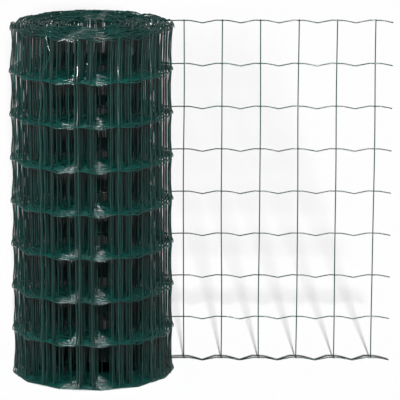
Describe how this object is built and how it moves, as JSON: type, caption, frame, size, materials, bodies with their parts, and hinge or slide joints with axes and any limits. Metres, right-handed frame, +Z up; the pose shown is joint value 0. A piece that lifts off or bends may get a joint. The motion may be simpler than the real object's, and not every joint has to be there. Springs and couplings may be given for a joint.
{
  "type": "roll of welded wire fencing",
  "caption": "Standing roll of green plastic-coated welded wire fencing, with crimped line wires, a bore down its middle and its free end pulled out flat.",
  "frame": {"origin": "the roll's axis at floor level", "axes": "+Z up along the roll's axis, +X along the flat free end, away from the roll"},
  "size_m": [0.6692, 0.2868, 0.6236],
  "materials": {
    "green_coat": "gloss"
  },
  "bodies": {
    "root": {"wound_roll": "green_coat", "free_end": "green_coat"}
  },
  "joints": []
}
